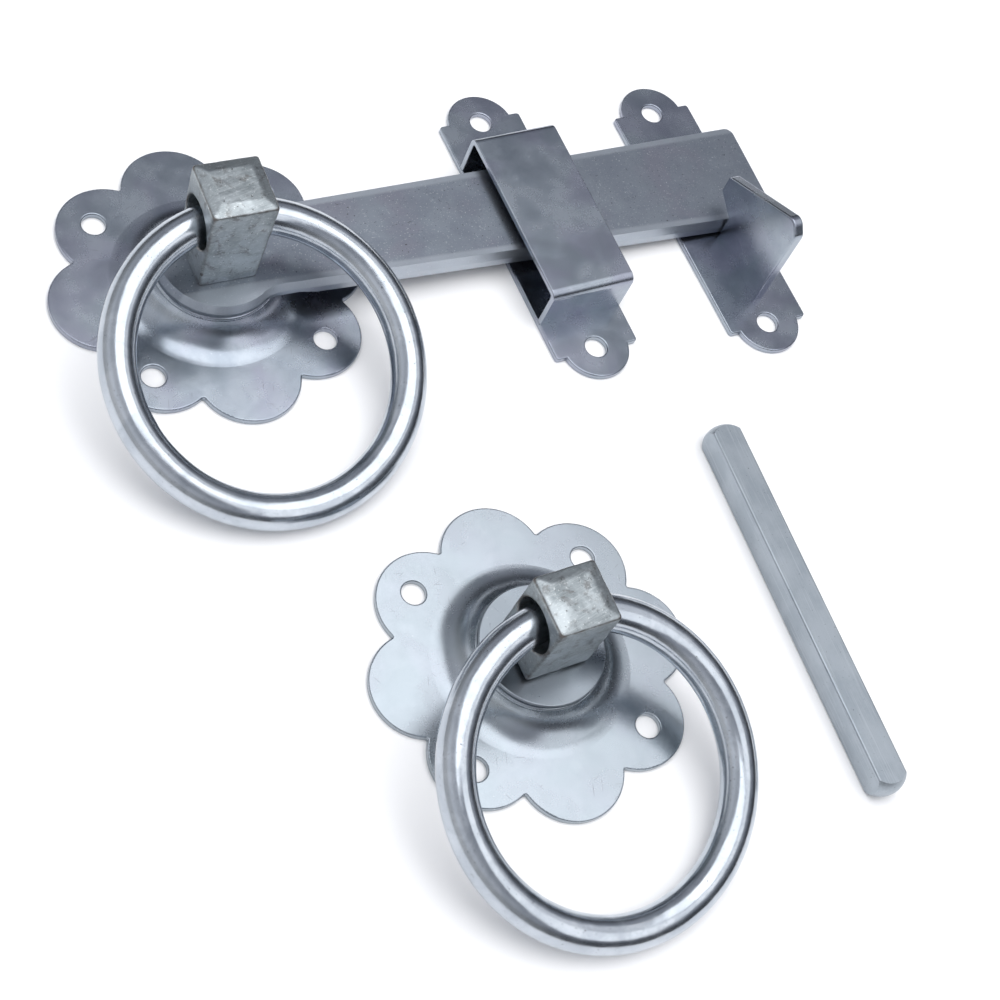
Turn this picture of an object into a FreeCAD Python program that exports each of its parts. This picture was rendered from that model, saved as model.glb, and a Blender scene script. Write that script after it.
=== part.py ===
"""Ring-handle gate latch set in zinc-plated steel, laid out flat as it is handed over for fitting.

Five groups lie on one plane, Z = 0, which is also the plane of the boards they screw to:
  inside handle   rose plate, knob with its stem, rear washer, pull ring and the latch bar
  bar guide       plate with a riveted bridge that the latch bar runs under
  keep            plate with a riveted hook that the latch bar drops into
  outside handle  rose plate, front washer, knob, rear washer and pull ring
  spindle         loose square bar that joins the two knobs through the gate

Origin: axis of the inside handle on the screwed plane. +Z points away from the board, and
+X runs to the guide and the keep, so that the hole lines of both plates lie along Y.
Lengths are in millimetres and angles in degrees.
"""
import FreeCAD
import Part
import math
import os

Vec = FreeCAD.Vector
Z_AXIS = Vec(0, 0, 1)

# Pressed sheet and screws
SHEET = 1.5
SCREW_HOLE_R = 2.9
RUNNING_GAP = 0.05          # axial and radial clearance where a knob turns in its rose
EDGE_R = 0.4                # rolled upper edges of the punched plates and their holes

# Rose plate: eight round lobes about a hollow raised boss, a screw hole in every second lobe
LOBES = 8
CUSP_R = 32.2               # radius of the inward points between lobes
LOBE_TIP_R = 39.3
CUSP_ROUNDING = 0.5
ROSE_SCREW_R = 30.7
BOSS_TOP_R = 15.3
BOSS_FOOT_R = 24.0
BOSS_HEIGHT = 8.6
BOSS_SHOULDER = 1.0

# Knob stem, shared by both handles
STEM_R = 7.0
SHANK_SIDE = 14.0           # square part of the inside stem that drives the latch bar
SOCKET_SIDE = 8.2           # square socket for the spindle
WASHER_R = 15.0
REAR_WASHER_R = 11.5
PEEN_R = 8.2
PEEN_THICKNESS = 1.0

# Pull rings, both the same
RING_R = 34.6               # radius of the centreline
RING_WIRE_R = 4.35
RING_HOLE_R = 6.3           # hole across the knob
RING_SAG = 0.5              # the ring lies this far below the middle of its hole
RING_BULGE = 0.45           # the ring's crown stands this far past the hole's axis
RING_GROUND_GAP = 0.2

# Handles: place, turn of the screw pattern, turn and size of the knob.
# "skew" and "roll" are how the loose ring lies in its hole.
INSIDE = {
    "centre": (0.0, 0.0), "lobe_angle": 44.0, "knob_angle": -2.0,
    "base": (14.9, 14.9), "top": (16.2, 15.6),
    "base_z": 12.5, "edge_z": 39.2, "top_z": 40.2, "ring_z": 27.8, "socket_end_z": 19.0,
    "skew": 0.7, "roll": 1.5,
}
OUTSIDE = {
    "centre": (34.6, -114.1), "lobe_angle": 39.8, "knob_angle": 0.0,
    "base": (16.9, 14.6), "top": (15.7, 15.0),
    "base_z": 11.2, "edge_z": 35.0, "top_z": 35.9, "ring_z": 25.8, "socket_end_z": 17.5,
    "skew": -4.4, "roll": 3.5,
}
KNOB_BEVEL = 3.0            # width of the shallow facets round the knob's top
KNOB_CORNER_R = 0.9

# Latch bar: round eye on the knob's shank, then a blade that widens and slopes to the keep
BAR_ANGLE = -1.5
EYE_R = 14.9
EYE_TOP_Z = 12.5
BAR_LENGTH = 156.3          # from the handle's axis
BAR_HALF_WIDTH = 11.2       # at the handle's axis
BAR_WIDENING = 0.0243       # half width gained per millimetre of length
BAR_SLOPE = 0.042           # fall of the blade per millimetre of length
BAR_THICKNESS = 4.8
BAR_BEND_X = 14.0
BAR_EDGE_BEVEL = (2.6, 0.7) # width and depth of the soft bevel on the long edges
BAR_END_R = 3.0

# Eared plates of the guide and the keep
PLATE_WIDTH = 24.0
PLATE_CORNER_R = 0.9
EAR_R = 9.2
EAR_REACH = 8.7             # from the middle of the screw hole to the ear's end

# Bar guide
GUIDE_CENTRE = (88.4, -5.8)
GUIDE_SPACING = 72.0
GUIDE_SHOULDER_Y = 37.0
BRIDGE_WIDTH = 23.7
BRIDGE_Y = (-26.3, 23.9)    # outer faces of its legs, from the guide's centre
BRIDGE_TOP_Z = 14.0
BRIDGE_BEND_R = 2.2
BRIDGE_EDGE_R = 0.3
BRIDGE_TENON = 12.0         # width of the tenons riveted through the plate

# Keep
KEEP_CENTRE = (139.0, -12.15)
KEEP_SPACING = 70.0
KEEP_SHOULDER_Y = 35.7
HOOK_X = (-0.5, 2.4)        # the hook's two faces, from the keep's centre
HOOK_TENON_Y = (-23.0, -11.0)
HOOK_EDGE_R = 0.5
# Hook outline as (Y from the keep's centre, Z, corner radius)
HOOK_OUTLINE = [
    (-6.5, SHEET, 0.0),
    (-6.2, 9.0, 0.8),       # back of the notch that the bar rests against
    (0.5, 12.3, 1.0),       # underside of the tip
    (0.7, 18.0, 1.6),       # tip
    (-23.6, 32.0, 2.6),     # top of the ramp
    (-27.0, 28.6, 2.4),
    (-27.8, SHEET, 0.0),
]

# Spindle
SPINDLE_SIDE = 8.0
SPINDLE_LENGTH = 100.0
SPINDLE_CENTRE = (104.9, -122.9)
SPINDLE_ANGLE = -92.7
SPINDLE_DOME_R = 6.3        # radius of the turned ends
SPINDLE_EDGE_R = 0.5


def polar(radius, degrees):
    """Point on the plane Z = 0 at a radius and an angle about the Z axis."""
    angle = math.radians(degrees)
    return Vec(radius * math.cos(angle), radius * math.sin(angle), 0)


def prism(wire, vector):
    """Solid swept from a closed flat wire along a vector."""
    return Part.Face(wire).extrude(vector)


def cylinder(radius, z_low, z_high, x=0.0, y=0.0):
    """Upright cylinder between two heights."""
    return Part.makeCylinder(radius, z_high - z_low, Vec(x, y, z_low))


def block(size_x, size_y, z_low, z_high):
    """Upright block centred on the Z axis."""
    return Part.makeBox(size_x, size_y, z_high - z_low, Vec(-size_x / 2, -size_y / 2, z_low))


def rectangle(size_x, size_y, z):
    """Closed rectangular wire centred on the Z axis."""
    x = size_x / 2
    y = size_y / 2
    corners = [Vec(-x, -y, z), Vec(x, -y, z), Vec(x, y, z), Vec(-x, y, z)]
    return Part.makePolygon(corners + corners[:1])


def rounded_wire(corners):
    """Closed wire through (point, radius) pairs, each corner rounded to its radius."""
    starts = []
    edges = []
    for index, (corner, radius) in enumerate(corners):
        to_last = corners[index - 1][0] - corner
        to_next = corners[(index + 1) % len(corners)][0] - corner
        if radius == 0.0:
            starts.append((corner, corner))
            continue
        half_turn = to_last.getAngle(to_next) / 2
        to_last.normalize()
        to_next.normalize()
        reach = radius / math.tan(half_turn)
        middle_line = to_last + to_next
        middle_line.normalize()
        middle = corner + middle_line * (radius / math.sin(half_turn) - radius)
        first = corner + to_last * reach
        last = corner + to_next * reach
        edges.append(Part.Arc(first, middle, last).toShape())
        starts.append((first, last))
    for index, (_, leaving) in enumerate(starts):
        arriving = starts[(index + 1) % len(starts)][0]
        edges.append(Part.makeLine(leaving, arriving))
    return Part.Wire(Part.__sortEdges__(edges))


def upright_edges(shape):
    """Edges that stand upright, or within about 25 degrees of it."""
    return [edge for edge in shape.Edges if abs(edge.tangentAt(edge.FirstParameter).z) > 0.9]


def level_edges(shape, z):
    """Edges that lie wholly at one height."""
    return [edge for edge in shape.Edges
            if abs(edge.BoundBox.ZMin - z) < 0.001 and abs(edge.BoundBox.ZMax - z) < 0.001]


def side_edges(shape, x_low, x_high):
    """Edges above the sheet that outline a strap's or a hook's two flat sides."""
    return [edge for edge in shape.Edges
            if edge.BoundBox.ZMin > SHEET - 0.01 and edge.BoundBox.ZMax > SHEET + 0.01
            and edge.BoundBox.XMax - edge.BoundBox.XMin < 0.001
            and min(abs(edge.CenterOfMass.x - x_low), abs(edge.CenterOfMass.x - x_high)) < 0.01]


def placed(shape, handle):
    """Move a handle's piece from the origin to the handle's centre."""
    x, y = handle["centre"]
    return shape.translated(Vec(x, y, 0))


def turned(shape, degrees):
    """Turn a shape about the Z axis."""
    return shape.rotated(Vec(0, 0, 0), Z_AXIS, degrees)


def boss_section():
    """Half section of the hollow boss, from the stem hole out to its foot."""
    wall_z = BOSS_HEIGHT - BOSS_SHOULDER
    rise = wall_z - SHEET
    run = BOSS_FOOT_R - BOSS_TOP_R
    flank_r = (run * run + rise * rise) / (2 * rise)
    centre_z = SHEET + flank_r

    def flank(radius, z):
        return Vec(BOSS_FOOT_R - math.sqrt(radius ** 2 - (centre_z - z) ** 2), 0, z)

    hole_r = STEM_R + RUNNING_GAP
    inner_r = flank_r + SHEET
    inner_z = wall_z - SHEET
    shoulder_centre_r = BOSS_TOP_R - BOSS_SHOULDER
    diagonal = BOSS_SHOULDER * math.sqrt(0.5)
    top_inner = Vec(hole_r, 0, BOSS_HEIGHT)
    top_outer = Vec(shoulder_centre_r, 0, BOSS_HEIGHT)
    shoulder = Vec(shoulder_centre_r + diagonal, 0, wall_z + diagonal)
    wall_top = Vec(BOSS_TOP_R, 0, wall_z)
    foot_top = Vec(BOSS_FOOT_R, 0, SHEET)
    foot_back = Vec(BOSS_FOOT_R, 0, 0)
    inner_top = flank(inner_r, inner_z)
    under_outer = Vec(inner_top.x - BOSS_SHOULDER, 0, BOSS_HEIGHT - SHEET)
    under_inner = Vec(hole_r, 0, BOSS_HEIGHT - SHEET)
    edges = [
        Part.makeLine(top_inner, top_outer),
        Part.Arc(top_outer, shoulder, wall_top).toShape(),
        Part.Arc(wall_top, flank(flank_r, SHEET + rise / 3), foot_top).toShape(),
        Part.makeLine(foot_top, foot_back),
        Part.Arc(foot_back, flank(inner_r, inner_z / 3), inner_top).toShape(),
        Part.makeLine(inner_top, under_outer),
        Part.makeLine(under_outer, under_inner),
        Part.makeLine(under_inner, top_inner),
    ]
    return Part.Face(Part.Wire(edges))


def rose_plate(handle):
    """Lobed plate with its pressed boss and four screw holes."""
    step = 360.0 / LOBES
    arcs = []
    for lobe in range(LOBES):
        angle = handle["lobe_angle"] + lobe * step
        start = polar(CUSP_R, angle - step / 2)
        tip = polar(LOBE_TIP_R, angle)
        end = polar(CUSP_R, angle + step / 2)
        arcs.append(Part.Arc(start, tip, end).toShape())
    plate = prism(Part.Wire(arcs), Vec(0, 0, SHEET))
    plate = plate.cut(cylinder(BOSS_FOOT_R, -1, SHEET + 1))
    boss = boss_section().revolve(Vec(0, 0, 0), Z_AXIS, 360)
    plate = plate.fuse(boss)
    for lobe in range(0, LOBES, 2):
        hole = polar(ROSE_SCREW_R, handle["lobe_angle"] + lobe * step)
        plate = plate.cut(cylinder(SCREW_HOLE_R, -1, SHEET + 1, hole.x, hole.y))
    plate = plate.removeSplitter()
    cusps = [edge for edge in upright_edges(plate)
             if abs(math.hypot(edge.CenterOfMass.x, edge.CenterOfMass.y) - CUSP_R) < 0.1]
    plate = plate.makeFillet(CUSP_ROUNDING, cusps)
    rims = [edge for edge in level_edges(plate, SHEET) if edge.Length < math.pi * BOSS_FOOT_R]
    return placed(plate.makeFillet(EDGE_R, rims), handle)


def rear_washer_top():
    """Height of the rear washer's upper face, just under the boss's sheet."""
    return BOSS_HEIGHT - SHEET - RUNNING_GAP


def washer(handle, radius, z_low, z_high):
    """Plain round washer on the stem, with softened upper and lower rims."""
    disc = cylinder(radius, z_low, z_high)
    rims = [edge for edge in disc.Edges if edge.Closed]
    disc = disc.makeFillet(0.3 * (z_high - z_low), rims)
    return placed(disc.cut(cylinder(STEM_R, z_low - 1, z_high + 1)), handle)


def knob(handle, has_square_shank):
    """Forged knob block with the ring's hole, its stem, spindle socket and peened end."""
    base_x, base_y = handle["base"]
    top_x, top_y = handle["top"]
    sides = Part.makeLoft([rectangle(base_x, base_y, handle["base_z"]),
                           rectangle(top_x, top_y, handle["edge_z"])], True, True)
    sides = sides.makeFillet(KNOB_CORNER_R, upright_edges(sides))
    crown_top = rectangle(top_x - 2 * KNOB_BEVEL, top_y - 2 * KNOB_BEVEL, handle["top_z"])
    crown = Part.makeLoft([rectangle(top_x, top_y, handle["edge_z"]), crown_top], True, True)
    outline = sides.common(block(top_x, top_y, handle["edge_z"] - 1, handle["edge_z"]))
    top_face = max(outline.Faces, key=lambda face: face.CenterOfMass.z)
    crown = crown.common(top_face.extrude(Vec(0, 0, handle["top_z"] - handle["edge_z"])))
    body = sides.fuse(crown)

    washer_under = rear_washer_top() - SHEET
    stem_low = washer_under - PEEN_THICKNESS
    body = body.fuse(cylinder(STEM_R, stem_low, handle["base_z"]))
    body = body.fuse(cylinder(PEEN_R, stem_low, washer_under))
    if has_square_shank:
        shank = block(SHANK_SIDE, SHANK_SIDE, BOSS_HEIGHT + RUNNING_GAP, handle["base_z"])
        body = body.fuse(shank)
    body = body.cut(block(SOCKET_SIDE, SOCKET_SIDE, stem_low - 1, handle["socket_end_z"]))
    reach = max(base_x, top_x)
    ring_hole = Part.makeCylinder(RING_HOLE_R, 2 * reach, Vec(-reach, 0, handle["ring_z"]),
                                  Vec(1, 0, 0))
    body = body.cut(ring_hole).removeSplitter()
    return placed(turned(body, handle["knob_angle"]), handle)


def pull_ring(handle):
    """Round ring through the knob, hanging to -Y with its far side just off the ground."""
    height = handle["ring_z"] - RING_SAG
    arm = RING_R - RING_BULGE
    roll = math.radians(handle["roll"])
    # The ring dips until its lowest point is just off the ground.
    dip = 0.0
    low = height
    while low > RING_GROUND_GAP:
        dip += 0.0005
        reach = math.hypot(math.sin(dip), math.sin(roll) * math.cos(dip))
        low = height - arm * math.sin(dip) - RING_R * reach - RING_WIRE_R
    outward = Vec(0, -math.cos(dip), -math.sin(dip))
    flat_normal = Vec(0, -math.sin(dip), math.cos(dip))
    across = Vec(1, 0, 0) * math.cos(roll) - flat_normal * math.sin(roll)
    normal = outward.cross(across)
    ring = Part.makeTorus(RING_R, RING_WIRE_R, Vec(0, 0, height) + outward * arm, normal)
    return placed(turned(ring, handle["knob_angle"] + handle["skew"]), handle)


def bar_outline(height):
    """Upright prism of the bar's outline: blade, eye and the hollow curves between them."""
    end_half_width = BAR_HALF_WIDTH + BAR_WIDENING * BAR_LENGTH
    blade = prism(rounded_wire([
        (Vec(0, -BAR_HALF_WIDTH, 0), 0.0),
        (Vec(BAR_LENGTH, -end_half_width, 0), BAR_END_R),
        (Vec(BAR_LENGTH, end_half_width, 0), BAR_END_R),
        (Vec(0, BAR_HALF_WIDTH, 0), 0.0),
    ]), Vec(0, 0, height))
    shape = blade.fuse(cylinder(EYE_R, 0, height)).removeSplitter()
    necks = [edge for edge in upright_edges(shape) if 5 < edge.CenterOfMass.x < EYE_R]
    return shape.makeFillet(EYE_R / 2, necks)


def latch_bar():
    """Latch bar: eye, thicker sloping blade and a soft bevel along the top edges."""
    back_x = -EYE_R - 1
    far_x = BAR_LENGTH + 1
    eye_under_z = BOSS_HEIGHT + RUNNING_GAP
    fall = BAR_SLOPE * (far_x - BAR_BEND_X)
    step_x = BOSS_TOP_R + 2
    blade_under_x = step_x + 5
    blade_under_z = EYE_TOP_Z - BAR_THICKNESS - BAR_SLOPE * (blade_under_x - BAR_BEND_X)
    side = Part.makePolygon([
        Vec(back_x, 0, EYE_TOP_Z),
        Vec(BAR_BEND_X, 0, EYE_TOP_Z),
        Vec(far_x, 0, EYE_TOP_Z - fall),
        Vec(far_x, 0, EYE_TOP_Z - BAR_THICKNESS - fall),
        Vec(blade_under_x, 0, blade_under_z),
        Vec(step_x, 0, eye_under_z),
        Vec(back_x, 0, eye_under_z),
        Vec(back_x, 0, EYE_TOP_Z),
    ])
    side_prism = prism(side, Vec(0, 2 * EYE_R + 10, 0)).translated(Vec(0, -EYE_R - 5, 0))
    bar = bar_outline(EYE_TOP_Z + 1).common(side_prism)
    bevel_width, bevel_depth = BAR_EDGE_BEVEL
    long_edges = [
        edge for edge in bar.Edges
        if edge.Length > BAR_LENGTH / 2
        and edge.CenterOfMass.z > EYE_TOP_Z - BAR_THICKNESS / 2 - fall / 2
    ]
    bar = bar.makeChamfer(bevel_depth, bevel_width, long_edges)
    bar = turned(bar, BAR_ANGLE)
    shank_hole = block(SHANK_SIDE, SHANK_SIDE, 0, EYE_TOP_Z + 1)
    return bar.cut(turned(shank_hole, INSIDE["knob_angle"]))


def eared_plate(centre, spacing, shoulder_y):
    """Flat plate with square shoulders and a round, holed ear at each end."""
    half = PLATE_WIDTH / 2
    plate = prism(rounded_wire([
        (Vec(-half, -shoulder_y, 0), PLATE_CORNER_R),
        (Vec(half, -shoulder_y, 0), PLATE_CORNER_R),
        (Vec(half, shoulder_y, 0), PLATE_CORNER_R),
        (Vec(-half, shoulder_y, 0), PLATE_CORNER_R),
    ]), Vec(0, 0, SHEET))
    hole_y = spacing / 2
    ear_y = hole_y + EAR_REACH - EAR_R
    for end in (-1, 1):
        plate = plate.fuse(cylinder(EAR_R, 0, SHEET, 0, end * ear_y))
    for end in (-1, 1):
        plate = plate.cut(cylinder(SCREW_HOLE_R, -1, SHEET + 1, 0, end * hole_y))
    plate = plate.removeSplitter()
    x, y = centre
    return plate.makeFillet(EDGE_R, level_edges(plate, SHEET)).translated(Vec(x, y, 0))


def bridge_tenons(z_high):
    """The two tenons under the bridge's legs, from the plate's back up to z_high."""
    x, y = GUIDE_CENTRE
    low, high = BRIDGE_Y
    tenons = []
    for leg_y in (low, high - SHEET):
        corner = Vec(x - BRIDGE_TENON / 2, y + leg_y, 0)
        tenons.append(Part.makeBox(BRIDGE_TENON, SHEET, z_high, corner))
    return tenons


def guide_plate():
    """Eared plate of the guide, slotted for the bridge's tenons."""
    plate = eared_plate(GUIDE_CENTRE, GUIDE_SPACING, GUIDE_SHOULDER_Y)
    for tenon in bridge_tenons(SHEET):
        plate = plate.cut(tenon)
    return plate


def guide_bridge():
    """Strap bent square over the latch bar, with a tenon under each leg."""
    x, y = GUIDE_CENTRE
    low, high = BRIDGE_Y
    left = x - BRIDGE_WIDTH / 2

    def arch(inset, radius):
        low_y = y + low + inset
        high_y = y + high - inset
        top_z = BRIDGE_TOP_Z - inset
        return prism(rounded_wire([
            (Vec(left, low_y, SHEET), 0.0),
            (Vec(left, high_y, SHEET), 0.0),
            (Vec(left, high_y, top_z), radius),
            (Vec(left, low_y, top_z), radius),
        ]), Vec(BRIDGE_WIDTH, 0, 0))

    strap = arch(0.0, BRIDGE_BEND_R).cut(arch(SHEET, BRIDGE_BEND_R - SHEET))
    for tenon in bridge_tenons(SHEET + 1):
        strap = strap.fuse(tenon)
    strap = strap.removeSplitter()
    return strap.makeFillet(BRIDGE_EDGE_R, side_edges(strap, left, left + BRIDGE_WIDTH))


def hook_tenon():
    """Tenon under the hook, riveted through the keep's plate."""
    x, y = KEEP_CENTRE
    x_low, x_high = HOOK_X
    y_low, y_high = HOOK_TENON_Y
    return Part.makeBox(x_high - x_low, y_high - y_low, SHEET, Vec(x + x_low, y + y_low, 0))


def keep_plate():
    """Eared plate of the keep, slotted for the hook's tenon."""
    return eared_plate(KEEP_CENTRE, KEEP_SPACING, KEEP_SHOULDER_Y).cut(hook_tenon())


def keep_hook():
    """Upright hook: a ramp that lifts the closing bar and a notch that holds it."""
    x, y = KEEP_CENTRE
    x_low, x_high = HOOK_X
    corners = [(Vec(x + x_low, y + along, z), radius) for along, z, radius in HOOK_OUTLINE]
    hook = prism(rounded_wire(corners), Vec(x_high - x_low, 0, 0))
    hook = hook.fuse(hook_tenon()).removeSplitter()
    return hook.makeFillet(HOOK_EDGE_R, side_edges(hook, x + x_low, x + x_high))


def spindle():
    """Square bar with both ends turned to a blunt dome."""
    half = SPINDLE_SIDE / 2
    length = SPINDLE_LENGTH / 2
    dome_x = length - SPINDLE_DOME_R
    x_axis = Vec(1, 0, 0)
    bar = Part.makeBox(SPINDLE_LENGTH, SPINDLE_SIDE, SPINDLE_SIDE, Vec(-length, -half, -half))
    limit = Part.makeCylinder(SPINDLE_DOME_R, 2 * dome_x, Vec(-dome_x, 0, 0), x_axis)
    for end in (-1, 1):
        limit = limit.fuse(Part.makeSphere(SPINDLE_DOME_R, Vec(end * dome_x, 0, 0), x_axis))
    bar = bar.common(limit)
    long_edges = [edge for edge in bar.Edges if edge.Length > SPINDLE_LENGTH / 2]
    bar = bar.makeFillet(SPINDLE_EDGE_R, long_edges)
    x, y = SPINDLE_CENTRE
    return turned(bar, SPINDLE_ANGLE).translated(Vec(x, y, half))


def build():
    """All the pieces, by node name."""
    above_boss = BOSS_HEIGHT + RUNNING_GAP
    rear_top = rear_washer_top()
    return {
        "inside_rose_plate": rose_plate(INSIDE),
        "inside_knob": knob(INSIDE, True),
        "inside_rear_washer": washer(INSIDE, REAR_WASHER_R, rear_top - SHEET, rear_top),
        "inside_ring": pull_ring(INSIDE),
        "latch_bar": latch_bar(),
        "guide_plate": guide_plate(),
        "guide_bridge": guide_bridge(),
        "keep_plate": keep_plate(),
        "keep_hook": keep_hook(),
        "outside_rose_plate": rose_plate(OUTSIDE),
        "outside_front_washer": washer(OUTSIDE, WASHER_R, above_boss, above_boss + SHEET),
        "outside_knob": knob(OUTSIDE, False),
        "outside_rear_washer": washer(OUTSIDE, REAR_WASHER_R, rear_top - SHEET, rear_top),
        "outside_ring": pull_ring(OUTSIDE),
        "spindle": spindle(),
    }


def main():
    os.makedirs("parts", exist_ok=True)
    for name, shape in build().items():
        shape.exportStep(f"parts/{name}.step")
        print(f"{name}: {len(shape.Solids)} solid, {shape.Volume:.0f} mm3, valid {shape.isValid()}")


main()
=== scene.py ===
"""Looks of the ring-handle gate latch set: camera, floor, soft light, and bright zinc in seven finishes.

The sheet parts, latch bar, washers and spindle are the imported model's own meshes with new
materials. The forged knobs and the pull rings are rebuilt as finer, slightly irregular meshes.
Lengths are in metres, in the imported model's frame, unless a name ends in _MM.
"""
import math

import bmesh
import bpy
import numpy as np
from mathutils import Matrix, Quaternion, Vector, noise


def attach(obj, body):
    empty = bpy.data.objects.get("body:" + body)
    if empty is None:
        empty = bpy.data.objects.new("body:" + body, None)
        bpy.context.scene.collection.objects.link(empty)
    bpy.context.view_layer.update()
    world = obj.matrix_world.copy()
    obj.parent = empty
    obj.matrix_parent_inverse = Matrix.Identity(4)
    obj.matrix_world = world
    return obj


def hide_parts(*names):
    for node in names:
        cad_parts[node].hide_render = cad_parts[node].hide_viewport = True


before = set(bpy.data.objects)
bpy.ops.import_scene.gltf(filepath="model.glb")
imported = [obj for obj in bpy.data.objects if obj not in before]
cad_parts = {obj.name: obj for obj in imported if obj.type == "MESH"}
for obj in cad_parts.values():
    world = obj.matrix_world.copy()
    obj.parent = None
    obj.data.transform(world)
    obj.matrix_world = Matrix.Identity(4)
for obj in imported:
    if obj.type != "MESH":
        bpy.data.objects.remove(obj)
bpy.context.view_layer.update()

MM = 0.001

# Camera
CAMERA_PLACE_MM = (-148.23, -222.25, 378.46)
CAMERA_AIM_MM = (45.75, -74.0, 0.0)
CAMERA_ROLL = math.radians(31.7)
CAMERA_LENS_MM = 68.19

# Light: an overhead soft box that the flat plates mirror, two weaker ones in front and to the right,
# and a fill light for the floor. Each box is (lowest x, lowest y, highest x, highest y, brightness).
SOFTBOXES = {
    "overhead_softbox": (-0.30, -0.40, 0.62, 0.50, 1.9),
    "front_softbox": (0.15, -1.70, 0.90, -0.45, 1.2),
    "right_softbox": (0.70, -0.55, 1.25, 0.30, 0.7),
}
SOFTBOX_HEIGHT = 1.0
FILL_STRENGTH = 1.3
FILL_ANGLE = math.radians(70)
SIDE_BRIGHTNESS = 0.6        # added to the room towards -X
FLOOR_DROP = 0.0001
FLOOR_SIZE = 60.0

# Latch bar, for the highlight painted along its bevels: direction, half width gained per unit of length,
# and the band of half widths in millimetres over which the painted highlight begins
BAR_ANGLE = -1.5
BAR_WIDENING = 0.0243
BAR_BEVEL_HIGHLIGHT_BAND = (8.4, 9.4)

# Rebuilt pieces
KNOB_VOXEL = 0.3 * MM
KNOB_SMOOTHING = 12
KNOB_DENTS = 0.20 * MM       # deepest dent
KNOB_BROAD_DENT_MM = 4.0     # width of the broad and the fine dents
KNOB_FINE_DENT_MM = 1.3
RING_SEGMENTS = 288
RING_SIDES = 48
RING_WOBBLE = 0.05 * MM
RING_CENTRE_PASSES = 3

# Room behind the set: (height, brightness) stops, their tint, and what the camera itself sees
ROOM_STOPS = [(0.0, 0.035), (0.35, 0.11), (0.55, 0.36), (0.68, 0.36), (0.78, 0.27), (0.9, 0.36)]
ROOM_TINT = (0.92, 0.96, 1.08)
BACKDROP_COLOUR = (0.93, 0.93, 0.94, 1.0)

# Input and output sockets of the colour Mix node
MIX_FIRST = 6
MIX_SECOND = 7
MIX_RESULT = 2


# ---------------------------------------------------------------- node helpers

class Shader:
    """Builds one material's nodes. Sizes are in millimetres on the object."""

    def __init__(self, name):
        self.material = bpy.data.materials.new(name)
        self.material.use_nodes = True
        self.nodes = self.material.node_tree.nodes
        self.links = self.material.node_tree.links
        self.surface = self.nodes["Principled BSDF"]
        scale = self.nodes.new("ShaderNodeVectorMath")
        scale.operation = "SCALE"
        scale.inputs["Scale"].default_value = 1.0 / MM
        coordinates = self.nodes.new("ShaderNodeTexCoord")
        self.links.new(coordinates.outputs["Object"], scale.inputs[0])
        self.place = scale.outputs[0]

    def math(self, operation, first, second=0.0):
        node = self.nodes.new("ShaderNodeMath")
        node.operation = operation
        for socket, value in zip(node.inputs, (first, second)):
            if isinstance(value, (int, float)):
                socket.default_value = value
            else:
                self.links.new(value, socket)
        return node.outputs[0]

    def stretched(self, angle, along, across):
        """Coordinates turned to an angle in the flat and scaled, for grain with a direction."""
        turn = self.nodes.new("ShaderNodeMapping")
        turn.vector_type = "TEXTURE"
        turn.inputs["Rotation"].default_value = (0.0, 0.0, math.radians(angle))
        turn.inputs["Scale"].default_value = (along, across, across)
        self.links.new(self.place, turn.inputs["Vector"])
        return turn.outputs[0]

    def distance_across(self, angle, widening):
        """Distance from the line through the origin at an angle, less the widening along it."""
        split = self.nodes.new("ShaderNodeSeparateXYZ")
        self.links.new(self.stretched(angle, 1.0, 1.0), split.inputs[0])
        across = self.math("ABSOLUTE", split.outputs["Y"])
        return self.math("SUBTRACT", across,
                         self.math("MULTIPLY", split.outputs["X"], widening))

    def noise(self, size, detail=4.0, roughness=0.55, place=None, distortion=0.0):
        node = self.nodes.new("ShaderNodeTexNoise")
        node.inputs["Scale"].default_value = 1.0 / size
        node.inputs["Detail"].default_value = detail
        node.inputs["Roughness"].default_value = roughness
        node.inputs["Distortion"].default_value = distortion
        self.links.new(place or self.place, node.inputs["Vector"])
        return node.outputs["Fac"]

    def band(self, factor, low, high, from_value=0.0, to_value=1.0):
        """Smooth step of a factor between two values."""
        node = self.nodes.new("ShaderNodeMapRange")
        node.interpolation_type = "SMOOTHSTEP"
        node.inputs["From Min"].default_value = low
        node.inputs["From Max"].default_value = high
        node.inputs["To Min"].default_value = from_value
        node.inputs["To Max"].default_value = to_value
        self.links.new(factor, node.inputs["Value"])
        return node.outputs["Result"]

    def mix(self, factor, first, second):
        """Mix two colours."""
        node = self.nodes.new("ShaderNodeMix")
        node.data_type = "RGBA"
        self.links.new(factor, node.inputs["Factor"])
        sockets = (node.inputs[MIX_FIRST], node.inputs[MIX_SECOND])
        for socket, value in zip(sockets, (first, second)):
            if isinstance(value, tuple):
                socket.default_value = (*value, 1.0)
            else:
                self.links.new(value, socket)
        return node.outputs[MIX_RESULT]

    def bump(self, height, distance, normal=None):
        node = self.nodes.new("ShaderNodeBump")
        node.inputs["Distance"].default_value = distance
        self.links.new(height, node.inputs["Height"])
        if normal is not None:
            self.links.new(normal, node.inputs["Normal"])
        return node.outputs[0]

    def pointiness(self):
        return self.nodes.new("ShaderNodeNewGeometry").outputs["Pointiness"]

    def finish(self, colour, roughness, normal):
        self.surface.inputs["Metallic"].default_value = 1.0
        self.links.new(colour, self.surface.inputs["Base Color"])
        self.links.new(roughness, self.surface.inputs["Roughness"])
        self.links.new(normal, self.surface.inputs["Normal"])
        return self.material


# ---------------------------------------------------------------- finishes

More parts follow.
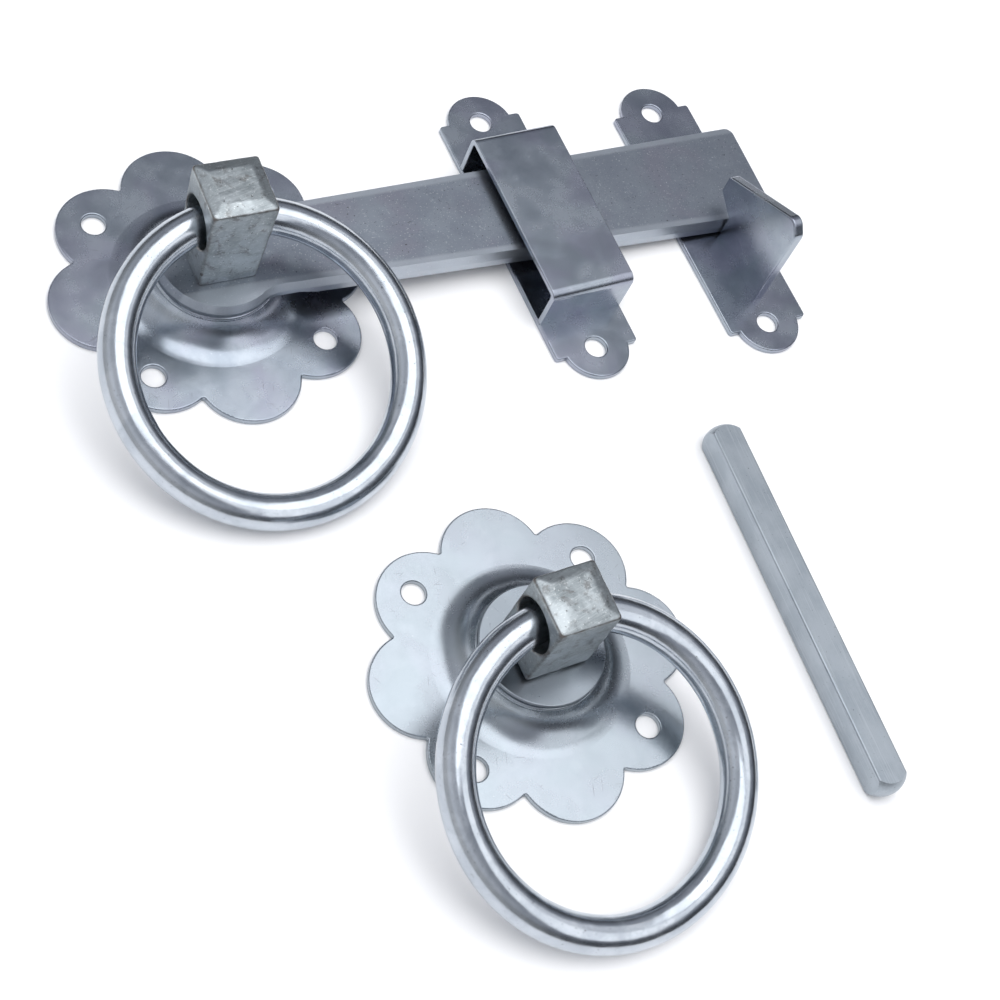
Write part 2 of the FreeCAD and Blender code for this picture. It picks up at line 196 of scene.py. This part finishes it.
def sheet_zinc(name, light, dark, stain, rough, waviness):
    """Rolled sheet in bright zinc: cloudy patches, specks, short scratches and a slight ripple.

    light, dark and stain are colours, rough the roughness and waviness the ripple's depth.
    """
    shader = Shader(name)
    clouds = shader.band(shader.noise(9.0, 4.0, 0.5, distortion=0.4), 0.32, 0.68)
    colour = shader.mix(clouds, dark, light)
    tint = shader.band(shader.noise(15.0, 3.0, 0.5, distortion=0.4), 0.42, 0.66)
    colour = shader.mix(shader.math("MULTIPLY", tint, 0.5), colour, stain)
    specks = shader.band(shader.noise(0.5, 2.0, 0.5), 0.68, 0.78)
    colour = shader.mix(shader.math("MULTIPLY", specks, 0.4), colour, (0.62, 0.66, 0.70))
    pits = shader.band(shader.noise(0.7, 3.0, 0.6), 0.28, 0.22)
    colour = shader.mix(shader.math("MULTIPLY", pits, 0.5), colour, (0.08, 0.08, 0.09))
    scratches = None
    for angle in (24.0, 71.0, 118.0, 163.0):
        lines = shader.noise(1.0, 1.0, 0.4, shader.stretched(angle, 5.0, 0.32))
        lines = shader.band(lines, 0.74, 0.79)
        scratches = lines if scratches is None else shader.math("MAXIMUM", scratches, lines)
    patches = shader.band(shader.noise(9.0, 2.0), 0.45, 0.60)
    scratches = shader.math("MULTIPLY", scratches, patches)
    colour = shader.mix(shader.math("MULTIPLY", scratches, 0.5), colour, (0.15, 0.15, 0.16))
    grain = shader.noise(0.5, 3.0, 0.6)
    roughness = shader.band(shader.noise(9.0, 3.0), 0.3, 0.7, rough - 0.03, rough + 0.04)
    roughness = shader.math("ADD", roughness, shader.math("MULTIPLY", grain, 0.06))
    normal = shader.bump(shader.noise(16.0, 1.0, 0.4), waviness)
    return shader.finish(colour, roughness, normal)


def bar_zinc(name):
    """Hot-rolled bar under zinc: bright and dark specks over clouds, with a fine lengthwise grain."""
    shader = Shader(name)
    clouds = shader.band(shader.noise(9.0, 5.0, 0.55, distortion=0.3), 0.32, 0.68)
    colour = shader.mix(clouds, (0.265, 0.295, 0.345), (0.325, 0.36, 0.41))
    warm = shader.band(shader.noise(15.0, 4.0, 0.55, distortion=0.3), 0.48, 0.68)
    colour = shader.mix(shader.math("MULTIPLY", warm, 0.6), colour, (0.30, 0.30, 0.36))
    specks = shader.band(shader.noise(0.4, 2.0, 0.5), 0.62, 0.74)
    colour = shader.mix(shader.math("MULTIPLY", specks, 0.6), colour, (0.75, 0.78, 0.81))
    pits = shader.band(shader.noise(0.6, 3.0, 0.6), 0.37, 0.28)
    colour = shader.mix(shader.math("MULTIPLY", pits, 0.8), colour, (0.08, 0.075, 0.08))
    # Painted highlight: the bevels and edges are lightened to stand in for their bright reflection
    painted_bevel_highlight = shader.band(shader.distance_across(BAR_ANGLE, BAR_WIDENING), *BAR_BEVEL_HIGHLIGHT_BAND)
    colour = shader.mix(shader.math("MULTIPLY", painted_bevel_highlight, 0.7), colour, (0.48, 0.52, 0.57))
    rub = shader.noise(1.0, 3.0, 0.6, shader.stretched(BAR_ANGLE, 14.0, 0.5))
    grain = shader.noise(0.45, 3.0, 0.6)
    roughness = shader.band(clouds, 0.0, 1.0, 0.39, 0.34)
    roughness = shader.math("ADD", roughness, shader.math("MULTIPLY", rub, 0.08))
    normal = shader.bump(shader.noise(9.0, 2.0, 0.5), 0.10 * MM)
    normal = shader.bump(rub, 0.008 * MM, normal)
    normal = shader.bump(grain, 0.012 * MM, normal)
    return shader.finish(colour, roughness, normal)


def forged_zinc(name):
    """Forged and hand-dressed knob: brushed faces, bright specks, brown edges and dark pits."""
    shader = Shader(name)
    clouds = shader.band(shader.noise(6.0, 4.0, 0.55, distortion=0.4), 0.30, 0.70)
    colour = shader.mix(clouds, (0.30, 0.335, 0.35), (0.42, 0.46, 0.48))
    brushed = shader.noise(1.0, 3.0, 0.6, shader.stretched(12.0, 6.0, 0.3))
    colour = shader.mix(shader.band(brushed, 0.45, 0.75), colour, (0.47, 0.51, 0.53))
    stains = shader.band(shader.noise(3.6, 5.0, 0.65, distortion=0.6), 0.53, 0.66)
    colour = shader.mix(shader.math("MULTIPLY", stains, 0.6), colour, (0.15, 0.14, 0.135))
    specks = shader.band(shader.noise(0.5, 3.0, 0.6), 0.60, 0.70)
    colour = shader.mix(shader.math("MULTIPLY", specks, 0.5), colour, (0.85, 0.88, 0.89))
    pits = shader.band(shader.noise(0.8, 4.0, 0.65), 0.38, 0.29)
    colour = shader.mix(shader.math("MULTIPLY", pits, 0.85), colour, (0.08, 0.075, 0.07))
    edge = shader.math("ADD", shader.pointiness(),
                       shader.math("MULTIPLY", shader.noise(1.6, 4.0, 0.7), 0.03))
    edge = shader.band(edge, 0.524, 0.55)
    colour = shader.mix(shader.math("MULTIPLY", edge, 0.8), colour, (0.12, 0.10, 0.09))
    roughness = shader.band(clouds, 0.0, 1.0, 0.46, 0.32)
    roughness = shader.math("ADD", roughness, shader.math("MULTIPLY", brushed, 0.06))
    normal = shader.bump(shader.noise(2.4, 3.0, 0.5), 0.08 * MM)
    normal = shader.bump(brushed, 0.02 * MM, normal)
    normal = shader.bump(shader.noise(0.5, 3.0, 0.6), 0.012 * MM, normal)
    return shader.finish(colour, roughness, normal)


def ring_zinc(name):
    """Drawn and bent wire, bright and smooth, with a few dark pits along it."""
    shader = Shader(name)
    clouds = shader.band(shader.noise(8.0, 4.0, 0.6, distortion=0.5), 0.36, 0.64)
    colour = shader.mix(clouds, (0.44, 0.48, 0.53), (0.54, 0.58, 0.63))
    pits = shader.band(shader.noise(0.6, 3.0, 0.65), 0.35, 0.28)
    colour = shader.mix(shader.math("MULTIPLY", pits, 0.8), colour, (0.09, 0.09, 0.10))
    grain = shader.noise(0.4, 3.0, 0.6)
    roughness = shader.band(shader.noise(5.0, 4.0), 0.3, 0.7, 0.14, 0.21)
    roughness = shader.math("ADD", roughness, shader.math("MULTIPLY", grain, 0.05))
    normal = shader.bump(shader.noise(4.0, 3.0, 0.5), 0.025 * MM)
    normal = shader.bump(grain, 0.004 * MM, normal)
    return shader.finish(colour, roughness, normal)


def spindle_zinc(name):
    """Cold-drawn square bar: pale, with die lines along its length and small dark marks."""
    shader = Shader(name)
    lines = shader.noise(1.0, 4.0, 0.6, shader.stretched(-92.7, 16.0, 0.35))
    clouds = shader.band(shader.noise(9.0, 4.0, 0.6), 0.36, 0.64)
    colour = shader.mix(clouds, (0.33, 0.37, 0.41), (0.39, 0.43, 0.47))
    colour = shader.mix(shader.band(lines, 0.50, 0.70), colour, (0.45, 0.49, 0.53))
    pits = shader.band(shader.noise(0.6, 3.0, 0.6), 0.33, 0.27)
    colour = shader.mix(shader.math("MULTIPLY", pits, 0.7), colour, (0.12, 0.12, 0.12))
    roughness = shader.band(lines, 0.3, 0.7, 0.34, 0.46)
    normal = shader.bump(lines, 0.02 * MM)
    normal = shader.bump(shader.noise(0.5, 3.0, 0.6), 0.010 * MM, normal)
    return shader.finish(colour, roughness, normal)


# ---------------------------------------------------------------- pieces

def dress(node, material):
    """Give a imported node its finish."""
    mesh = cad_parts[node].data
    mesh.materials.clear()
    mesh.materials.append(material)


def forged_knob(name, node, body, material, seed):
    """The knob's own shape, remeshed fine, softened and lightly dented inwards."""
    piece = bpy.data.objects.new(name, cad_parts[node].data.copy())
    bpy.context.scene.collection.objects.link(piece)
    remesh = piece.modifiers.new("remesh", "REMESH")
    remesh.mode = "VOXEL"
    remesh.voxel_size = KNOB_VOXEL
    smooth = piece.modifiers.new("smooth", "SMOOTH")
    smooth.factor = 0.5
    smooth.iterations = KNOB_SMOOTHING
    evaluated = piece.evaluated_get(bpy.context.evaluated_depsgraph_get())
    mesh = bpy.data.meshes.new_from_object(evaluated)
    piece.modifiers.clear()
    piece.data = mesh
    offset = Vector((seed, 0.0, 0.0))
    inward = [-Vector(normal.vector) for normal in mesh.vertex_normals]
    for vertex, direction in zip(mesh.vertices, inward):
        place = vertex.co / MM
        broad = noise.noise(place / KNOB_BROAD_DENT_MM + offset)
        fine = noise.noise(place / KNOB_FINE_DENT_MM + offset)
        vertex.co += direction * KNOB_DENTS * (0.5 + 0.35 * broad + 0.15 * fine)
    for polygon in mesh.polygons:
        polygon.use_smooth = True
    mesh.materials.clear()
    mesh.materials.append(material)
    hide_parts(node)
    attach(piece, body)
    return piece


def wire_ring(name, node, body, material, seed):
    """The ring swept as a closed tube, its wire a little uneven and never outside the node's."""
    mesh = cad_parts[node].data
    points = np.empty(len(mesh.vertices) * 3)
    mesh.vertices.foreach_get("co", points)
    points = points.reshape(-1, 3)
    centre = (points.min(0) + points.max(0)) / 2
    for _ in range(RING_CENTRE_PASSES):
        axes = np.linalg.svd(points - centre, full_matrices=False)[2]
        flat = (points - centre) @ axes[:2].T
        spread = (flat.min(0) + flat.max(0)) / 2
        centre = centre + spread @ axes[:2]
    radii = np.linalg.norm((points - centre) @ axes[:2].T, axis=1)
    ring_r = (radii.max() + radii.min()) / 2
    wire_r = (radii.max() - radii.min()) / 2
    middle, first, second, normal = (Vector(v) for v in (centre, *axes))
    new = bmesh.new()
    rows = []
    for segment in range(RING_SEGMENTS):
        angle = 2 * math.pi * segment / RING_SEGMENTS
        outward = first * math.cos(angle) + second * math.sin(angle)
        uneven = noise.noise(outward * 3.0 + Vector((seed, 0.0, 0.0)))
        spine = middle + outward * (ring_r + RING_WOBBLE * 0.5 * uneven)
        row = []
        for side in range(RING_SIDES):
            turn = 2 * math.pi * side / RING_SIDES
            direction = outward * math.cos(turn) + normal * math.sin(turn)
            dent = noise.noise((outward * 9.0 + direction * 0.7) * 1.5 + Vector((0.0, seed, 0.0)))
            radius = wire_r - RING_WOBBLE * (1.0 + 0.5 * dent)
            row.append(new.verts.new(spine + direction * radius))
        rows.append(row)
    for row, after in zip(rows, rows[1:] + rows[:1]):
        for side in range(RING_SIDES):
            other = (side + 1) % RING_SIDES
            new.faces.new((row[side], after[side], after[other], row[other])).smooth = True
    bmesh.ops.recalc_face_normals(new, faces=new.faces)
    ring_mesh = bpy.data.meshes.new(name)
    new.to_mesh(ring_mesh)
    new.free()
    ring_mesh.materials.append(material)
    piece = bpy.data.objects.new(name, ring_mesh)
    bpy.context.scene.collection.objects.link(piece)
    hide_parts(node)
    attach(piece, body)
    return piece


# ---------------------------------------------------------------- stage

def add_floor():
    """Plain pale floor under the set."""
    bpy.ops.mesh.primitive_plane_add(size=FLOOR_SIZE, location=(0.0, 0.0, -FLOOR_DROP))
    floor = bpy.context.object
    floor.name = "floor"
    shader = Shader("pale_floor")
    shader.surface.inputs["Roughness"].default_value = 0.9
    shader.surface.inputs["Specular IOR Level"].default_value = 0.1
    tone = shader.mix(shader.noise(120.0, 2.0), (0.93, 0.93, 0.935), (0.95, 0.95, 0.955))
    shader.links.new(tone, shader.surface.inputs["Base Color"])
    floor.data.materials.append(shader.material)


def add_softboxes():
    """Level soft boxes, pointing straight down."""
    for name, (low_x, low_y, high_x, high_y, brightness) in SOFTBOXES.items():
        light = bpy.data.lights.new(name, "AREA")
        light.shape = "RECTANGLE"
        light.size = high_x - low_x
        light.size_y = high_y - low_y
        light.energy = brightness * math.pi * light.size * light.size_y
        lamp = bpy.data.objects.new(name, light)
        lamp.location = ((low_x + high_x) / 2, (low_y + high_y) / 2, SOFTBOX_HEIGHT)
        bpy.context.scene.collection.objects.link(lamp)


def add_fill():
    """Very soft light from above that whitens the floor and leaves no glint on the metal."""
    light = bpy.data.lights.new("fill", "SUN")
    light.energy = FILL_STRENGTH
    light.angle = FILL_ANGLE
    lamp = bpy.data.objects.new("fill", light)
    lamp.visible_glossy = False
    lamp.location = (0.0, 0.0, SOFTBOX_HEIGHT)
    bpy.context.scene.collection.objects.link(lamp)


def add_room():
    """Grey room, darker at the horizon and lighter to the left, with a pale backdrop to look at."""
    world = bpy.data.worlds.new("room")
    bpy.context.scene.world = world
    world.use_nodes = True
    nodes = world.node_tree.nodes
    links = world.node_tree.links
    coordinates = nodes.new("ShaderNodeTexCoord")
    split = nodes.new("ShaderNodeSeparateXYZ")
    links.new(coordinates.outputs["Generated"], split.inputs[0])
    ramp = nodes.new("ShaderNodeValToRGB")
    links.new(split.outputs["Z"], ramp.inputs[0])
    elements = ramp.color_ramp.elements
    while len(elements) < len(ROOM_STOPS):
        elements.new(0.5)
    for element, (position, level) in zip(elements, ROOM_STOPS):
        element.position = position
        element.color = (*(level * part for part in ROOM_TINT), 1.0)
    path = nodes.new("ShaderNodeLightPath")
    pale = nodes.new("ShaderNodeBackground")
    pale.inputs["Color"].default_value = BACKDROP_COLOUR
    room = nodes["Background"]
    side = nodes.new("ShaderNodeMapRange")
    side.inputs["From Min"].default_value = 0.0
    side.inputs["From Max"].default_value = -1.0
    side.inputs["To Max"].default_value = SIDE_BRIGHTNESS
    links.new(split.outputs["X"], side.inputs["Value"])
    lit = nodes.new("ShaderNodeMix")
    lit.data_type = "RGBA"
    lit.blend_type = "ADD"
    lit.inputs["Factor"].default_value = 1.0
    links.new(ramp.outputs["Color"], lit.inputs[MIX_FIRST])
    links.new(side.outputs["Result"], lit.inputs[MIX_SECOND])
    links.new(lit.outputs[MIX_RESULT], room.inputs["Color"])
    choose = nodes.new("ShaderNodeMixShader")
    links.new(path.outputs["Is Camera Ray"], choose.inputs[0])
    links.new(room.outputs[0], choose.inputs[1])
    links.new(pale.outputs[0], choose.inputs[2])
    links.new(choose.outputs[0], nodes["World Output"].inputs["Surface"])


def add_camera():
    """Camera looking down on the set, rolled about its own axis."""
    data = bpy.data.cameras.new("camera")
    data.lens = CAMERA_LENS_MM
    data.sensor_width = 36.0
    data.clip_start = 0.01
    camera = bpy.data.objects.new("camera", data)
    place = Vector(CAMERA_PLACE_MM) * MM
    aim = Vector(CAMERA_AIM_MM) * MM
    camera.location = place
    camera.rotation_mode = "QUATERNION"
    camera.rotation_quaternion = ((aim - place).to_track_quat("-Z", "Y")
                                  @ Quaternion((0.0, 0.0, 1.0), CAMERA_ROLL))
    bpy.context.scene.collection.objects.link(camera)
    bpy.context.scene.camera = camera


# ---------------------------------------------------------------- the set

dull_sheet = sheet_zinc("zinc_sheet_dull", (0.39, 0.43, 0.48), (0.30, 0.34, 0.39),
                        (0.33, 0.33, 0.42), 0.22, 0.08 * MM)
pale_sheet = sheet_zinc("zinc_sheet_pale", (0.38, 0.42, 0.46), (0.35, 0.395, 0.43),
                        (0.38, 0.41, 0.46), 0.22, 0.07 * MM)
# Painted shade: a darker copy of the sheet zinc for the outside washers, standing in for the knob and
# ring mirrored in them
shaded_washer_sheet = sheet_zinc("zinc_sheet_washer_painted_shade", (0.29, 0.325, 0.36), (0.26, 0.295, 0.33),
                          (0.28, 0.30, 0.34), 0.27, 0.04 * MM)
bar_finish = bar_zinc("zinc_bar")
forged_finish = forged_zinc("zinc_forging")
ring_finish = ring_zinc("zinc_ring")
spindle_finish = spindle_zinc("zinc_spindle")

for sheet_node in ("inside_rose_plate", "guide_plate", "guide_bridge", "keep_plate", "keep_hook",
                   "inside_rear_washer"):
    dress(sheet_node, dull_sheet)
dress("outside_rose_plate", pale_sheet)
for washer_node in ("outside_front_washer", "outside_rear_washer"):
    dress(washer_node, shaded_washer_sheet)
dress("latch_bar", bar_finish)
dress("spindle", spindle_finish)

forged_knob("inside_forged_knob", "inside_knob", "inside_handle", forged_finish, 3.1)
forged_knob("outside_forged_knob", "outside_knob", "outside_handle", forged_finish, 17.4)
wire_ring("inside_wire_ring", "inside_ring", "inside_pull_ring", ring_finish, 5.2)
wire_ring("outside_wire_ring", "outside_ring", "outside_pull_ring", ring_finish, 11.7)

add_floor()
add_softboxes()
add_fill()
add_room()
add_camera()
bpy.context.scene.view_settings.view_transform = "Standard"
